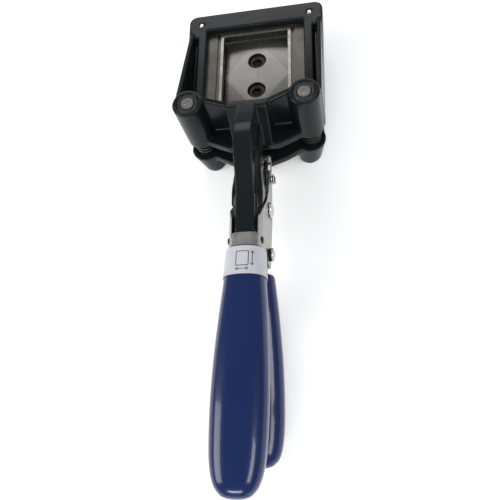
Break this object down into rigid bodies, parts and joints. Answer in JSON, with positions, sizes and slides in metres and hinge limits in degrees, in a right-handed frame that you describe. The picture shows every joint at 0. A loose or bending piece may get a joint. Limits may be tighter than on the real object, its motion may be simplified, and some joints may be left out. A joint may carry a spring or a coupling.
{
  "type": "hand-held print cutter",
  "caption": "Plier-type hand cutter for small rectangular prints: squeezing the handles turns a rocker that lifts a spring-returned punch into a framed die.",
  "frame": {"origin": "on the flat underside of the carriage, below the middle of the punch", "axes": "+Z is the cutting direction, up from the rest surface; +Y points from the handles to the front of the head; +X is to the right seen from the handles"},
  "size_m": [0.0668, 0.223, 0.0492],
  "materials": {
    "black_paint": "glossy black paint over a casting",
    "die_steel": "ground hardened steel, slightly olive",
    "punch_steel": "ground hardened steel",
    "sheet_steel": "nickel plated folded sheet",
    "pin_steel": "ground pin steel",
    "bright_steel": "bright plated steel",
    "spring_steel": "oil-blackened spring wire",
    "black_oxide": "black oxide, satin",
    "bush_bronze": "dark oiled bronze",
    "blue_vinyl": "glossy dipped vinyl",
    "label_film": "pale printed film"
  },
  "bodies": {
    "frame": {"upper_frame": "black_paint", "die_plate": "die_steel", "die_dowel_left": "bright_steel", "die_dowel_right": "bright_steel", "die_screw_left": "black_oxide", "die_screw_right": "black_oxide", "guide_bush_left": "bush_bronze", "guide_bush_right": "bush_bronze", "guide_spring_left": "spring_steel", "guide_spring_right": "spring_steel", "upper_handle_channel": "sheet_steel", "upper_grip": "blue_vinyl", "size_label": "label_film", "arm_pin_front": "black_oxide", "arm_pin_rear": "pin_steel", "rocker_pivot_pin": "black_oxide", "handle_pivot_rivet": "bright_steel", "pivot_washer_left": "black_oxide", "pivot_washer_right": "black_oxide"},
    "carriage": {"lower_carriage": "black_paint", "punch_block": "punch_steel", "punch_screw_front": "black_oxide", "punch_screw_rear": "black_oxide", "guide_pin_left": "pin_steel", "guide_pin_right": "pin_steel", "lift_pin": "bright_steel"},
    "rocker": {"lift_rocker": "black_oxide", "return_spring_left": "bright_steel", "return_spring_right": "bright_steel"},
    "lower_handle": {"lower_handle_channel": "sheet_steel", "lower_grip": "blue_vinyl", "drive_pin": "bright_steel"}
  },
  "joints": [
    {"name": "handle_squeeze", "type": "hinge", "parent": "frame", "child": "lower_handle", "pos_m": [0, -0.095, 0.0195], "axis": [-1, 0, 0], "range_deg": [0, 14.1]},
    {"name": "rocker_turn", "type": "hinge", "parent": "frame", "child": "rocker", "pos_m": [0, -0.057, 0.0165], "axis": [1, 0, 0], "range_deg": [0, 17]},
    {"name": "carriage_lift", "type": "slide", "parent": "frame", "child": "carriage", "axis": [0, 0, 1], "range_m": [0, 0.0028], "stiffness_N_per_m": 3000, "springref_m": -0.004, "deforming": ["guide_spring_left", "guide_spring_right"]}
  ],
  "couplings": [
    {"joint": "handle_squeeze", "follows": "carriage_lift", "rad_per_m": 87.41},
    {"joint": "rocker_turn", "follows": "carriage_lift", "rad_per_m": 104.52}
  ]
}
